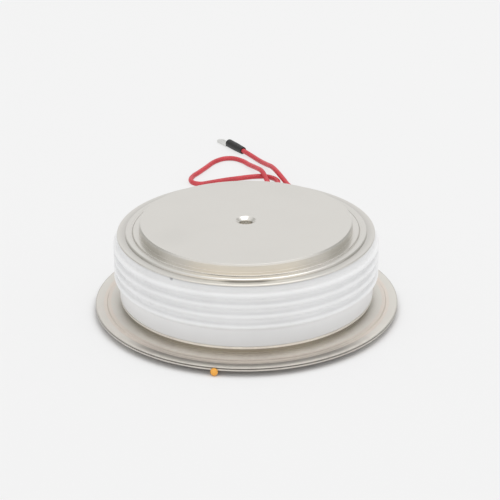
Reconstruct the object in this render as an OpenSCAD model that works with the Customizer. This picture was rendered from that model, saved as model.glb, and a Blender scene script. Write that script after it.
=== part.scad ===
// Disc thyristor: a flat press-pack capsule with a ribbed ceramic wall, a nickel-plated pole at each end,
// a cold-welded rim round the cathode end, and two flexible control leads behind it.
// The origin is the centre of the cathode face, which the capsule stands on, and +Z points to the anode.

/* [Poles] */
// Distance between the two outer contact faces
total_h = 25.75; // [25:0.25:30]
// Diameter of the two outer contact faces
pole_face_d = 58.6; // [54:0.2:70]
// How far the ledge below the anode face reaches past that face
anode_ledge = 1.65; // [0.8:0.05:2.5]
// Height of the anode face above its ledge
anode_face_h = 2.3; // [1.8:0.1:2.7]
// Thickness of the anode ledge
anode_ledge_h = 2.9; // [2.6:0.1:5]
// How far the ledge above the cathode face reaches past that face
cathode_ledge = 2.1; // [1.2:0.1:2.3]
// Thickness of the cathode ledge
cathode_ledge_h = 2.5; // [1.5:0.1:3]
// Height of the cathode pole
cathode_pole_h = 11; // [10.5:0.25:12]
// How much smaller in radius the inner contact faces are than the outer ones
contact_inset = 2.3; // [1.5:0.1:6]
// Chamfer round the outer contact faces
face_chamfer = 0.4; // [0.1:0.05:0.8]
// Diameter of the centring hole in each contact face
centre_hole_d = 3.5; // [2.5:0.1:5]
// Depth of the centring holes
centre_hole_depth = 2.4; // [1.5:0.1:2.6]
// Width of the countersink round the mouth of the centring holes
centre_sink_w = 0.8; // [0.2:0.05:1]
// Depth of the countersink
centre_sink_h = 0.5; // [0.2:0.05:0.7]

/* [Ceramic wall] */
// Thickness of the ceramic wall at its plain band
ceramic_wall = 3.3; // [2.5:0.1:3.6]
// Number of ribs round the wall
rib_count = 4; // [2:1:4]
// Distance from one rib to the next
rib_pitch = 2.95; // [2.4:0.05:3.1]
// How far the ribs stand out from the plain band
rib_depth = 1.4; // [0.8:0.1:2]
// Distance from the top of the wall to the crest of the first rib
rib_margin = 2.4; // [2:0.1:3]
// Chamfer on the two outer ends of the wall
ceramic_chamfer = 0.25; // [0.1:0.05:0.4]

/* [Anode flange] */
// Thickness of the anode flange's sheet
anode_sheet = 0.5; // [0.3:0.05:0.6]
// How far the flange's flat lies below the anode face
anode_drop = 2.95; // [2.75:0.05:4]
// Width of the bead that lets the pole breathe
bead_w = 2.2; // [1.8:0.1:3]
// Height of the bead above the flange's flat
bead_rise = 0.55; // [0.4:0.05:1]
// Outer radius of the bead's two bends
bead_bend = 0.6; // [0.55:0.05:0.85]
// Width of the flange's flat that is brazed on the ceramic
seat_w = 1.9; // [1.2:0.05:3]
// How far the flange reaches past the ceramic
anode_overhang = 0.3; // [0.1:0.1:1]
// How far the flange's collar reaches down beside the anode ledge
collar_h = 1.4; // [0.8:0.1:1.8]

/* [Welded rim] */
// Thickness of each of the two sheets in the rim
rim_sheet = 0.6; // [0.4:0.05:0.8]
// Width of the rim outside the ceramic
rim_w = 6.9; // [6:0.1:10]
// Height of the rim's underside above the cathode face
rim_clear = 1.45; // [1.3:0.05:2]
// Open height of the neck between the rim and the ceramic
neck_gap = 1.55; // [1:0.05:2.5]
// How far the neck stands back from the plain band
neck_inset = 1.1; // [0.6:0.05:1.4]
// Distance from the rim's edge to the inner wall of the pressed weld groove
groove_inset = 3.4; // [2.6:0.1:4]
// Depth of the pressed weld groove in each sheet
groove_depth = 0.4; // [0.1:0.05:0.5]
// Width of the groove's flat floor
groove_floor_w = 0.7; // [0.4:0.1:1]
// Width of the groove's steep inner wall
groove_wall_w = 0.3; // [0.1:0.05:0.5]
// Width of the flat lip that is left outside the groove
groove_lip_w = 0.6; // [0.4:0.1:1]
// How far each sheet springs away from the seam at the rim's edge
seam_open = 0.12; // [0.02:0.02:0.16]
// Width of the edge that springs open
seam_open_w = 1; // [0.5:0.1:1.4]
// Width of the cover's bead
cover_bead_w = 2.2; // [1.8:0.1:2.4]
// How far the cover's bead hangs below the rim
cover_bead_drop = 0.7; // [0.3:0.1:1]
// Flat between the cathode ledge and the cover's bead
cover_bead_gap = 0.5; // [0.2:0.1:0.8]

/* [Silicon and its plates] */
// Thickness of the silicon wafer
wafer_t = 0.4; // [0.3:0.05:0.8]
// How far the wafer reaches past the inner contact faces
wafer_margin = 0.5; // [0.2:0.1:1]
// Thickness of the molybdenum disc under the anode
disc_t = 2.5; // [1.5:0.1:3]
// Thickness of the molybdenum washer on the cathode
washer_t = 0.8; // [0.4:0.1:1.2]
// How far the washer's edge stands back from the inner contact face
washer_inset = 2; // [1:0.5:4]
// Thickness of the silver foil below the anode pole
foil_t = 0.2; // [0.1:0.05:0.4]
// Width of the rubber seal round the wafer's edge
seal_w = 1.3; // [0.8:0.1:1.8]
// How far the seal climbs up the molybdenum disc
seal_climb = 1.2; // [0.5:0.1:1.4]
// Thickness of the centring ring's base
ring_base_h = 1.5; // [1:0.1:2]
// Height of the centring ring's wall above the cathode's inner face
ring_wall_h = 3.4; // [1.5:0.1:3.6]
// Clearance round the centring ring and inside its wall
ring_clear = 0.3; // [0.1:0.05:0.5]

/* [Gate] */
// Height of the gate's axis above the bottom of the ceramic
gate_rise = 2.4; // [2:0.1:2.8]
// Outside diameter of the gate tube
tube_d = 2.4; // [2:0.1:3]
// Diameter of the gate wire, which runs through the tube
wire_d = 1; // [0.6:0.1:1.2]
// Length of tube outside the ceramic
tube_out = 3.9; // [3:0.1:6]
// Length of tube inside the ceramic
tube_in = 0.5; // [0.2:0.1:0.8]
// Length of the crimp at the tube's outer end
crimp_len = 2; // [1:0.1:2.5]
// How much smaller in diameter the crimp is than the tube
crimp_squeeze = 0.5; // [0.2:0.1:0.6]
// Diameter of the well in the cathode pole
well_d = 8; // [7.5:0.1:10]
// Depth of the well below the gate's axis
well_drop = 3.2; // [3:0.1:3.6]
// Wall of the insulating cup in the well
cup_wall = 0.9; // [0.6:0.05:1.1]
// Floor of the insulating cup
cup_floor = 0.8; // [0.5:0.1:1]
// How far the cup and its bush stay below the cathode's inner face
cup_inset = 0.4; // [0.2:0.1:0.8]
// Thickness of the pin's collar
collar_t = 0.8; // [0.5:0.1:1]
// Diameter of the pin's tip
tip_d = 2.5; // [1.5:0.1:3]
// Space between the pin's collar and the guide bush
bush_gap = 0.6; // [0.3:0.1:1]
// Diameter of the spring's wire
spring_wire = 0.4; // [0.3:0.05:0.45]
// Turns of the spring
spring_turns = 3; // [2:0.5:3]
// Outside diameter of the insulating sleeve on the gate wire
sleeve_d = 2; // [1.6:0.1:2.4]
// Clearance of the sleeve in its slot
slot_clear = 0.2; // [0.1:0.05:0.4]

/* [Leads] */
// Outside diameter of the leads
lead_d = 1.6; // [1.2:0.1:1.8]
// Sideways place of the cathode tag
tag_x = 14; // [10:0.5:18]
// Width of the cathode tag
tag_w = 4; // [3:0.5:5]
// Thickness of the cathode tag
tag_t = 0.5; // [0.3:0.1:0.7]
// Length of the tag's flat strip
tag_len = 8.6; // [8:0.2:12]
// Length of the tag's crimp barrel
tag_barrel_len = 4; // [3:0.5:6]
// Wall of the tag's crimp barrel
tag_barrel_wall = 0.45; // [0.3:0.05:0.6]
// Diameter of a terminal's crimp barrel
terminal_d = 2.2; // [1.8:0.1:2.6]
// Length of a terminal's crimp barrel
terminal_barrel_len = 5; // [4:0.5:6]
// Width of a terminal's tongue
tongue_w = 2.8; // [2.4:0.1:4.8]
// Length of a terminal's tongue
tongue_len = 6.5; // [5:0.5:8]
// Thickness of a terminal's tongue
tongue_t = 0.5; // [0.4:0.05:0.8]
// Outside diameter of the sleeve on the cathode lead's end
end_sleeve_d = 2.8; // [2.6:0.1:3.2]
// Length of that sleeve on the lead
end_sleeve_len = 4.6; // [3:0.2:4.6]

/* [Hidden] */

$fn = 96;
// Clearance of brazed, pressed and crimped fits, in radius
fit = 0.05;
// How far a cut runs past the face that it opens
past = 1;

// Radii from the axis outwards
face_r = pole_face_d / 2;
anode_ledge_r = face_r + anode_ledge;
cathode_ledge_r = face_r + cathode_ledge;
contact_r = face_r - contact_inset;
bead_r = anode_ledge_r + fit;
ceramic_r = bead_r + bead_w + seat_w;
bore_r = ceramic_r - ceramic_wall;
crest_r = ceramic_r + rib_depth;
neck_r = ceramic_r - neck_inset;
rim_r = ceramic_r + rim_w;
wafer_r = contact_r + wafer_margin;
seal_r = wafer_r + seal_w;

// Heights from the cathode face upwards
seam_z = rim_clear + rim_sheet;
rim_z = seam_z + rim_sheet;
ceramic_z = rim_z + neck_gap + rim_sheet;
flat_z = total_h - anode_drop;
ceramic_top_z = flat_z - anode_sheet;
anode_ledge_z = total_h - anode_face_h;
washer_z = cathode_pole_h;
wafer_z = washer_z + washer_t;
disc_z = wafer_z + wafer_t;
foil_z = disc_z + disc_t;
anode_contact_z = foil_z + foil_t;

// The gate's levels and radii
gate_z = ceramic_z + gate_rise;
well_z = gate_z - well_drop;
cup_r = well_d / 2 - fit;
cup_bore_r = cup_r - cup_wall;
cup_floor_z = well_z + cup_floor;
cup_top_z = cathode_pole_h - cup_inset;
collar_r = cup_bore_r - fit;
collar_z = gate_z - collar_t / 2;
bush_z = collar_z + collar_t + bush_gap;
wire_end = ceramic_r + tube_out;

// The pressed groove, as the cut that both rim sheets take from their outer faces
groove_start_r = rim_r - groove_inset;
groove_floor_r = groove_start_r + groove_wall_w;
groove_cut = [
    [groove_start_r, 0],
    [groove_floor_r, groove_depth],
    [groove_floor_r + groove_floor_w, groove_depth],
    [rim_r - rim_sheet / 2 - groove_lip_w, 0],
    [rim_r - rim_sheet / 2 - groove_lip_w, -past],
    [groove_start_r, -past]
];
// The thin wedge that the seam's side of both sheets loses at the rim's edge
seam_cut = [
    [rim_r - seam_open_w, 0],
    [rim_r + past, seam_open * (1 + past / seam_open_w)],
    [rim_r + past, -past]
];

// Route of the gate lead: out of the tube, down to the table, one slack bend, one loose loop and back
gate_route = [
    [0, 39, 7.2], [0, 43, 7.2], [-0.5, 47.5, 5.8], [-2, 52, 3], [-5, 56, 1.1], [-9.5, 59.5, 0.8],
    [-14, 62, 0.8], [-17.6, 65, 0.8], [-18.8, 69, 0.8], [-16.8, 72.6, 0.8], [-12.4, 74.4, 0.8],
    [-7, 74.8, 0.8], [-1.6, 75.6, 0.8], [3, 77.8, 0.8], [6.2, 81.4, 0.8], [7.4, 86, 0.9],
    [6.8, 90.4, 1.6], [5.4, 94.8, 2.6], [3.6, 99.4, 2], [1.4, 104.4, 1.1], [-1, 108.8, 0.8],
    [-4, 111.2, 0.8], [-7.4, 111, 0.8], [-10.6, 108, 0.8], [-13.2, 103, 0.8], [-15.4, 98.8, 0.8],
    [-17.2, 95.6, 0.8], [-18, 92.4, 0.8], [-17.2, 89.6, 0.8], [-14.6, 88.4, 0.8], [-11.4, 89.6, 0.8],
    [-6.8, 91.6, 0.8], [-2, 93.2, 0.8], [2.6, 94.5, 0.8], [6.4, 94.6, 0.8], [9.2, 92.8, 0.8],
    [10.5, 90, 1], [10.6, 88, 1.1], [10.6, 86, 1.1]
];
// Route of the cathode lead: out of the tag's barrel, through two slack bends and over the gate lead
cathode_route = [
    [14, 43, 3.95], [14, 47, 3.95], [14.6, 51, 2.6], [17.2, 54.4, 1.2], [21.6, 56, 0.8], [26, 57.4, 0.8],
    [28.4, 60.6, 0.8], [27.2, 64.2, 0.8], [23, 65.6, 0.8], [18, 65.4, 0.8], [13.4, 66, 0.8],
    [10.8, 69, 0.8], [12, 72.6, 0.8], [16, 74, 0.8], [19.6, 76, 0.8], [20, 79.8, 0.8], [17, 82.6, 0.8],
    [14.2, 85.8, 0.9], [12.4, 89.8, 1.7], [10.4, 94, 2.7], [8.8, 98.6, 2.6], [7, 103.6, 1.6],
    [4.8, 108.6, 0.9], [2.2, 113, 1], [-0.6, 116.8, 1.4], [-3.2, 120.8, 1.4]
];
lead_sides = 8;

// Colours
nickel = "#d3cfc8";
plated_copper = "#d7d4cf";
white_ceramic = "#eeeeec";
lead_red = "#c4333b";
sleeve_black = "#2b2c2c";
tinned = "#c9c9c6";

function unit(v) = v / norm(v);
function heading(path, i) = unit(path[min(i + 1, len(path) - 1)] - path[max(i - 1, 0)]);
function ring_at(path, i, r, sides) =
    let (along = heading(path, i), side = unit(cross(along, [0, 0, 1])), up = cross(side, along))
    [for (k = [0 : sides - 1]) path[i] + r * (cos(360 * k / sides) * side + sin(360 * k / sides) * up)];

// A tube of flat sides that follows a path, with a ring of corners at each of its points
module swept(path, d, sides) {
    rings = len(path);
    corners = [for (i = [0 : rings - 1]) each ring_at(path, i, d / 2, sides)];
    walls = [
        for (i = [0 : rings - 2], k = [0 : sides - 1])
            let (a = i * sides + k, b = i * sides + (k + 1) % sides)
            [a, b, b + sides, a + sides]
    ];
    first_cap = [for (k = [sides - 1 : -1 : 0]) k];
    last_cap = [for (k = [0 : sides - 1]) (rings - 1) * sides + k];
    polyhedron(corners, concat(walls, [first_cap, last_cap]), convexity = 8);
}

// Places its children at the end of a route, with +X running on in the route's own direction
module at_end(path) {
    last = path[len(path) - 1];
    run = last - path[len(path) - 2];
    translate(last) rotate([0, 0, atan2(run.y, run.x)]) children();
}

// A centring hole with its countersink, cut down from the plane z = 0
module centring_cut() {
    hole_r = centre_hole_d / 2;
    translate([0, 0, -centre_hole_depth]) cylinder(r = hole_r, h = centre_hole_depth + past);
    translate([0, 0, -centre_sink_h])
        cylinder(r1 = hole_r, r2 = hole_r + 2 * centre_sink_w, h = 2 * centre_sink_h);
}

// Half a ring of sheet, as the section of a round bead whose crest touches z = 0
module bead_section(w, t) {
    intersection() {
        translate([w / 2, -w / 2]) difference() {
            circle(d = w);
            circle(d = w - 2 * t);
        }
        translate([0, -w / 2]) square([w, w / 2]);
    }
}

// A quarter ring of bent sheet, whose outer bend starts on z = 0 and turns down towards +X
module bend_section(bend, t) {
    intersection() {
        translate([0, -bend]) difference() {
            circle(r = bend);
            circle(r = bend - t);
        }
        translate([0, -bend]) square(bend);
    }
}

// A flat sheet from r0 to r1 with its lower face on z = 0 and a round outer edge
module sheet_section(r0, r1, t) {
    square_r = r1 - t / 2;
    translate([r0, 0]) square([square_r - r0, t]);
    translate([square_r, t / 2]) circle(d = t, $fn = 32);
}

// The white wall: a plain band below and tangent round ribs and grooves above
module ceramic_ring() {
    arc_r = (pow(rib_pitch / 2, 2) + pow(rib_depth, 2)) / (4 * rib_depth);
    mid_r = (crest_r + ceramic_r) / 2;
    first_z = ceramic_top_z - rib_margin;
    last_root_z = first_z - (rib_count - 0.5) * rib_pitch;
    c = ceramic_chamfer;
    color(white_ceramic) difference() {
        rotate_extrude() difference() {
            union() {
                polygon([
                    [bore_r, ceramic_z], [ceramic_r - c, ceramic_z], [ceramic_r, ceramic_z + c],
                    [ceramic_r, ceramic_top_z - c], [ceramic_r - c, ceramic_top_z], [bore_r, ceramic_top_z]
                ]);
                translate([bore_r, last_root_z]) square([mid_r - bore_r, rib_count * rib_pitch]);
                for (i = [0 : rib_count - 1])
                    translate([crest_r - arc_r, first_z - i * rib_pitch]) circle(r = arc_r);
            }
            for (i = [0 : rib_count])
                translate([ceramic_r + arc_r, last_root_z + i * rib_pitch]) circle(r = arc_r);
        }
        translate([0, 0, gate_z]) rotate([-90, 0, 0]) cylinder(d = tube_d + 2 * fit, h = crest_r + past);
    }
}

// The turned copper pole of the anode, with the ledge that the flange's collar is brazed round
module anode_pole() {
    c = face_chamfer;
    color(plated_copper) difference() {
        rotate_extrude() polygon([
            [0, anode_contact_z], [contact_r, anode_contact_z], [contact_r, anode_ledge_z - anode_ledge_h],
            [anode_ledge_r, anode_ledge_z - anode_ledge_h], [anode_ledge_r, anode_ledge_z],
            [face_r, anode_ledge_z], [face_r, total_h - c], [face_r - c, total_h], [0, total_h]
        ]);
        translate([0, 0, total_h]) centring_cut();
    }
}

// The formed sheet between the anode pole and the ceramic: collar, bead and brazed flat
module anode_flange() {
    crest_z = flat_z + bead_rise;
    spring_z = crest_z - bead_bend;
    outer_leg_r = bead_r + bead_w - anode_sheet;
    color(nickel) rotate_extrude() {
        translate([bead_r + bead_bend, crest_z - anode_sheet]) square([bead_w - 2 * bead_bend, anode_sheet]);
        translate([bead_r + bead_bend, crest_z]) mirror([1, 0]) bend_section(bead_bend, anode_sheet);
        translate([bead_r + bead_w - bead_bend, crest_z]) bend_section(bead_bend, anode_sheet);
        translate([bead_r, flat_z - collar_h]) square([anode_sheet, spring_z - flat_z + collar_h]);
        translate([outer_leg_r, ceramic_top_z]) square([anode_sheet, max(spring_z, flat_z) - ceramic_top_z]);
        translate([0, ceramic_top_z]) sheet_section(outer_leg_r, ceramic_r + anode_overhang, anode_sheet);
    }
}

// The turned copper pole of the cathode, with the gate's well and the slot for its wire
module cathode_pole() {
    c = face_chamfer;
    slot_w = sleeve_d + 2 * slot_clear;
    color(plated_copper) difference() {
        rotate_extrude() polygon([
            [0, 0], [face_r - c, 0], [face_r, c], [face_r, seam_z], [cathode_ledge_r, seam_z],
            [cathode_ledge_r, seam_z + cathode_ledge_h], [contact_r, seam_z + cathode_ledge_h],
            [contact_r, cathode_pole_h], [0, cathode_pole_h]
        ]);
        rotate([180, 0, 0]) centring_cut();
        translate([0, 0, well_z]) cylinder(d = well_d, h = cathode_pole_h - well_z + past);
        translate([-slot_w / 2, 0, gate_z - slot_w / 2]) cube([slot_w, contact_r + past, cathode_pole_h]);
    }
}

// The cover sheet: brazed below the cathode ledge, with a hanging bead and the lower half of the rim
module cover_flange() {
    bead_start_r = cathode_ledge_r + cover_bead_gap;
    bead_end_r = bead_start_r + cover_bead_w;
    spring_z = rim_clear - cover_bead_drop + cover_bead_w / 2;
    leg_h = max(seam_z - spring_z, 0);
    color(nickel) rotate_extrude() difference() {
        union() {
            translate([face_r + fit, rim_clear])
                square([bead_start_r + rim_sheet - face_r - fit, rim_sheet]);
            translate([bead_start_r, rim_clear - cover_bead_drop])
                mirror([0, 1]) bead_section(cover_bead_w, rim_sheet);
            for (r = [bead_start_r, bead_end_r - rim_sheet])
                translate([r, seam_z - leg_h]) square([rim_sheet, leg_h]);
            translate([0, rim_clear]) sheet_section(bead_end_r - rim_sheet, rim_r, rim_sheet);
        }
        translate([bead_start_r + cover_bead_w / 2, spring_z]) circle(d = cover_bead_w - 2 * rim_sheet);
        translate([0, rim_clear]) polygon(groove_cut);
        translate([0, seam_z]) mirror([0, 1]) polygon(seam_cut);
    }
}

// The folded sheet below the ceramic: a brazed lip, a neck and the upper half of the rim
module weld_flange() {
    inner_r = neck_r - rim_sheet;
    color(nickel) rotate_extrude() difference() {
        union() {
            translate([0, ceramic_z - rim_sheet]) sheet_section(inner_r, ceramic_r, rim_sheet);
            translate([inner_r, seam_z]) square([rim_sheet, ceramic_z - seam_z]);
            translate([0, seam_z]) sheet_section(inner_r, rim_r, rim_sheet);
        }
        translate([0, rim_z]) mirror([0, 1]) polygon(groove_cut);
        translate([0, seam_z]) polygon(seam_cut);
    }
}

// The small tube brazed through the wall, crimped on the gate wire at its outer end
module gate_tube() {
    inner_end = bore_r - tube_in;
    crimp_start = wire_end - crimp_len;
    color(nickel) translate([0, 0, gate_z]) rotate([-90, 0, 0]) difference() {
        union() {
            translate([0, 0, inner_end]) cylinder(d = tube_d, h = crimp_start - inner_end);
            translate([0, 0, crimp_start]) cylinder(d = tube_d - crimp_squeeze, h = crimp_len);
        }
        translate([0, 0, inner_end - past])
            cylinder(d = wire_d + 2 * fit, h = wire_end - inner_end + 2 * past);
    }
}

// The welded tag on the rim: a flat strip and a barrel that holds the cathode lead
module cathode_tag() {
    strip_y = sqrt(pow(ceramic_r + anode_overhang, 2) - pow(tag_x - tag_w / 2, 2));
    barrel_y = strip_y + tag_len;
    barrel_d = lead_d + 2 * (fit + tag_barrel_wall);
    color(nickel) translate([tag_x, 0, rim_z]) {
        translate([-tag_w / 2, strip_y, 0]) cube([tag_w, tag_len, tag_t]);
        translate([0, barrel_y, barrel_d / 2]) rotate([-90, 0, 0]) difference() {
            cylinder(d = barrel_d, h = tag_barrel_len);
            translate([0, 0, -past]) cylinder(d = lead_d + 2 * fit, h = tag_barrel_len + 2 * past);
        }
        translate([-barrel_d / 4, barrel_y - tag_t, 0])
            cube([barrel_d / 2, 2 * tag_t, min(tag_t, tag_barrel_wall) / 2]);
    }
}

// The silicon wafer itself
module silicon_wafer() {
    color("#5d6068") translate([0, 0, wafer_z]) cylinder(r = wafer_r, h = wafer_t);
}

// The molybdenum disc that the wafer is alloyed to
module anode_disc() {
    color("#a3a19c") translate([0, 0, disc_z]) cylinder(r = wafer_r, h = disc_t);
}

// The loose molybdenum washer between the wafer and the cathode pole
module cathode_washer() {
    color("#a3a19c") translate([0, 0, washer_z]) difference() {
        cylinder(r = contact_r - washer_inset, h = washer_t);
        translate([0, 0, -past]) cylinder(r = cup_bore_r, h = washer_t + 2 * past);
    }
}

// The soft silver foil between the molybdenum disc and the anode pole
module anode_foil() {
    color("#dcdcda") translate([0, 0, foil_z]) cylinder(r = contact_r, h = foil_t);
}

// The rubber bead that seals the wafer's bevelled edge
module wafer_seal() {
    top_z = disc_z + seal_climb;
    color("#8f3b34") rotate_extrude() polygon([
        [wafer_r, wafer_z], [wafer_r + seal_w / 2, wafer_z], [seal_r, wafer_z + wafer_t],
        [seal_r, top_z - seal_w / 2], [wafer_r + seal_w / 2, top_z], [wafer_r, top_z]
    ]);
}

// The plastic ring that centres the wafer between the cathode pole and the wall
module centring_ring() {
    outer_r = bore_r - ring_clear;
    wall_r = min(seal_r + ring_clear, outer_r - ring_clear);
    base_z = cathode_pole_h - ring_base_h;
    wall_z = cathode_pole_h + ring_wall_h;
    color("#f2efe6") rotate_extrude() polygon([
        [contact_r + fit, base_z], [outer_r, base_z], [outer_r, wall_z], [wall_r, wall_z],
        [wall_r, cathode_pole_h], [contact_r + fit, cathode_pole_h]
    ]);
}

// The insulating cup in the cathode's well, notched for the gate wire
module gate_cup() {
    notch_w = wire_d + 4 * fit;
    color("#f2efe6") difference() {
        translate([0, 0, well_z]) cylinder(r = cup_r, h = cup_top_z - well_z);
        translate([0, 0, cup_floor_z]) cylinder(r = cup_bore_r, h = cup_top_z);
        translate([-notch_w / 2, 0, gate_z - notch_w / 2]) cube([notch_w, well_d, cup_top_z]);
    }
}

// The coil spring that presses the gate pin on the wafer
module gate_spring() {
    steps = 14;
    wire_r = spring_wire / 2;
    low_z = cup_floor_z + wire_r + fit;
    climb = collar_z - wire_r - fit - low_z;
    coil_r = collar_r - wire_r - fit;
    count = steps * spring_turns;
    coil = [
        for (i = [0 : count])
            [coil_r * cos(360 * i / steps), coil_r * sin(360 * i / steps), low_z + climb * i / count]
    ];
    color("#b9b6ae") swept(coil, spring_wire, 6);
}

// The gate's contact pin: a collar on the spring and a tip that meets the wafer
module gate_pin() {
    color("#d9d9d4") {
        translate([0, 0, collar_z]) cylinder(r = collar_r, h = collar_t);
        translate([0, 0, collar_z]) cylinder(d = tip_d, h = wafer_z - collar_z);
    }
}

// The insulating bush that keeps the pin's tip in line
module gate_bush() {
    color("#f2efe6") translate([0, 0, bush_z]) difference() {
        cylinder(r = cup_bore_r - fit, h = cup_top_z - bush_z);
        translate([0, 0, -past]) cylinder(d = tip_d + 2 * fit, h = cup_top_z - bush_z + 2 * past);
    }
}

// The straight gate wire from the pin's collar to the end of the gate tube
module gate_wire() {
    color("#cfa07a") translate([0, collar_r, gate_z]) rotate([-90, 0, 0])
        cylinder(d = wire_d, h = wire_end - collar_r);
}

// The insulating sleeve on the gate wire, in the cathode pole's slot
module gate_wire_sleeve() {
    start = well_d / 2;
    length = bore_r - tube_in - start - fit;
    color("#f2efe6") translate([0, start, gate_z]) rotate([-90, 0, 0]) difference() {
        cylinder(d = sleeve_d, h = length);
        translate([0, 0, -past]) cylinder(d = wire_d + 2 * fit, h = length + 2 * past);
    }
}

// A crimped terminal along +X: a round barrel and a flat tongue with a round tip
module terminal() {
    tongue_x = terminal_barrel_len - tongue_t;
    tip_x = tongue_x + tongue_len - tongue_w / 2;
    rotate([0, 90, 0]) cylinder(d = terminal_d, h = terminal_barrel_len);
    translate([tongue_x, -tongue_w / 2, -terminal_d / 2]) cube([tip_x - tongue_x, tongue_w, tongue_t]);
    translate([tip_x, 0, -terminal_d / 2]) cylinder(d = tongue_w, h = tongue_t);
}

// The insulated lead of the gate
module gate_lead() {
    color(lead_red) swept(gate_route, lead_d, lead_sides);
}

// The bare tinned terminal on the gate lead
module gate_lead_terminal() {
    color(tinned) at_end(gate_route) translate([fit, 0, 0]) terminal();
}

// The insulated lead of the cathode
module cathode_lead() {
    color(lead_red) swept(cathode_route, lead_d, lead_sides);
}

// The black sleeve over the end of the cathode lead and its terminal's barrel
module cathode_lead_sleeve() {
    barrel_part = terminal_barrel_len - tongue_t;
    color(sleeve_black) at_end(cathode_route) rotate([0, 90, 0]) difference() {
        translate([0, 0, -end_sleeve_len]) cylinder(d = end_sleeve_d, h = end_sleeve_len + barrel_part);
        translate([0, 0, -end_sleeve_len - past])
            cylinder(d = lead_d + 2 * fit, h = end_sleeve_len + 2 * past);
        cylinder(d = terminal_d + 2 * fit, h = barrel_part + past);
    }
}

// The tinned terminal on the cathode lead
module cathode_lead_terminal() {
    color(tinned) at_end(cathode_route) translate([fit, 0, 0]) terminal();
}

ceramic_ring();
anode_pole();
anode_flange();
cathode_pole();
cover_flange();
weld_flange();
gate_tube();
cathode_tag();
silicon_wafer();
anode_disc();
cathode_washer();
anode_foil();
wafer_seal();
centring_ring();
gate_cup();
gate_spring();
gate_pin();
gate_bush();
gate_wire();
gate_wire_sleeve();
gate_lead();
gate_lead_terminal();
cathode_lead();
cathode_lead_sleeve();
cathode_lead_terminal();
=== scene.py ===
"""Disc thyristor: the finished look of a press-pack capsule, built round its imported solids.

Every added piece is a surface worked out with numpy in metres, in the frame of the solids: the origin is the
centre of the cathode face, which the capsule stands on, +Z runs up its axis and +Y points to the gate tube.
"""

import functools

import bpy
import numpy as np
from mathutils import Matrix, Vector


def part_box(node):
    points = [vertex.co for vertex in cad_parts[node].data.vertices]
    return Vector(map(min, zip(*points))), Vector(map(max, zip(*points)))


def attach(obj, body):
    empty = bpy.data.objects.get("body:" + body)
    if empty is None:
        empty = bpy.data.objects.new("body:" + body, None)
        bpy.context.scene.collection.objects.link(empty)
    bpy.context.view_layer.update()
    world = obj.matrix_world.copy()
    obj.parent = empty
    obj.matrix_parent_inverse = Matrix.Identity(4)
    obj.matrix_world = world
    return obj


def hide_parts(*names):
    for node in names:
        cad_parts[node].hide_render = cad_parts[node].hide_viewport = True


bl_info = {
    "name": "Disc Thyristor",
    "version": (1, 0, 0),
    "blender": (4, 5, 0),
    "location": "View3D > Sidebar > Thyristor",
    "description": "Builds a press-pack disc thyristor with ribbed wall, formed flanges and control leads",
    "category": "Add Mesh",
}

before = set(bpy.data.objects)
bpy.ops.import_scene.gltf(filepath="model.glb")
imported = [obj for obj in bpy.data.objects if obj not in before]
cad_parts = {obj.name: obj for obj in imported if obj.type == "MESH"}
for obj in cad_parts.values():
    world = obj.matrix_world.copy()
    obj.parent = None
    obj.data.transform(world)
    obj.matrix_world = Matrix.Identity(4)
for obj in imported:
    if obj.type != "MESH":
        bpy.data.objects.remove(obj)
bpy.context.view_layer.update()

MM = 0.001
MICRON = 0.001 * MM
TURN = 2 * np.pi
# Length of the narrow strips that keep the shading of a flat face flat up to its rounded edge
HOLD = 0.03 * MM
# Edges that turn by more than this many degrees are shaded as sharp
SHARP_DEG = 32
# Fillets of the pressed sheets: at bends and edges, at the ends of the groove's slope, and in the folded neck
EDGE_FILLET = 0.12 * MM
UPPER_EDGE_FILLET = 0.1 * MM
LOWER_EDGE_FILLET = 0.05 * MM
SLOPE_FILLET = 0.3 * MM
FOLD_FILLET = 0.2 * MM

# Routes of the two leads, from where they leave the capsule to their terminals
GATE_ROUTE = MM * np.array([
    [0, 39, 7.2], [0, 43, 7.2], [-0.5, 47.5, 5.8], [-2, 52, 3], [-5, 56, 1.1], [-9.5, 59.5, 0.8],
    [-14, 62, 0.8], [-17.6, 65, 0.8], [-18.8, 69, 0.8], [-16.8, 72.6, 0.8], [-12.4, 74.4, 0.8],
    [-7, 74.8, 0.8], [-1.6, 75.6, 0.8], [3, 77.8, 0.8], [6.2, 81.4, 0.8], [7.4, 86, 0.9],
    [6.8, 90.4, 1.6], [5.4, 94.8, 2.6], [3.6, 99.4, 2], [1.4, 104.4, 1.1], [-1, 108.8, 0.8],
    [-4, 111.2, 0.8], [-7.4, 111, 0.8], [-10.6, 108, 0.8], [-13.2, 103, 0.8], [-15.4, 98.8, 0.8],
    [-17.2, 95.6, 0.8], [-18, 92.4, 0.8], [-17.2, 89.6, 0.8], [-14.6, 88.4, 0.8], [-11.4, 89.6, 0.8],
    [-6.8, 91.6, 0.8], [-2, 93.2, 0.8], [2.6, 94.5, 0.8], [6.4, 94.6, 0.8], [9.2, 92.8, 0.8],
    [10.5, 90, 1], [10.6, 88, 1.1], [10.6, 86, 1.1],
])
CATHODE_ROUTE = MM * np.array([
    [14, 43, 3.95], [14, 47, 3.95], [14.6, 51, 2.6], [17.2, 54.4, 1.2], [21.6, 56, 0.8], [26, 57.4, 0.8],
    [28.4, 60.6, 0.8], [27.2, 64.2, 0.8], [23, 65.6, 0.8], [18, 65.4, 0.8], [13.4, 66, 0.8],
    [10.8, 69, 0.8], [12, 72.6, 0.8], [16, 74, 0.8], [19.6, 76, 0.8], [20, 79.8, 0.8], [17, 82.6, 0.8],
    [14.2, 85.8, 0.9], [12.4, 89.8, 1.7], [10.4, 94, 2.7], [8.8, 98.6, 2.6], [7, 103.6, 1.6],
    [4.8, 108.6, 0.9], [2.2, 113, 1], [-0.6, 116.8, 1.4], [-3.2, 120.8, 1.4],
])


def low(node):
    """Lowest corner of a solid."""
    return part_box(node)[0]


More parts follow.
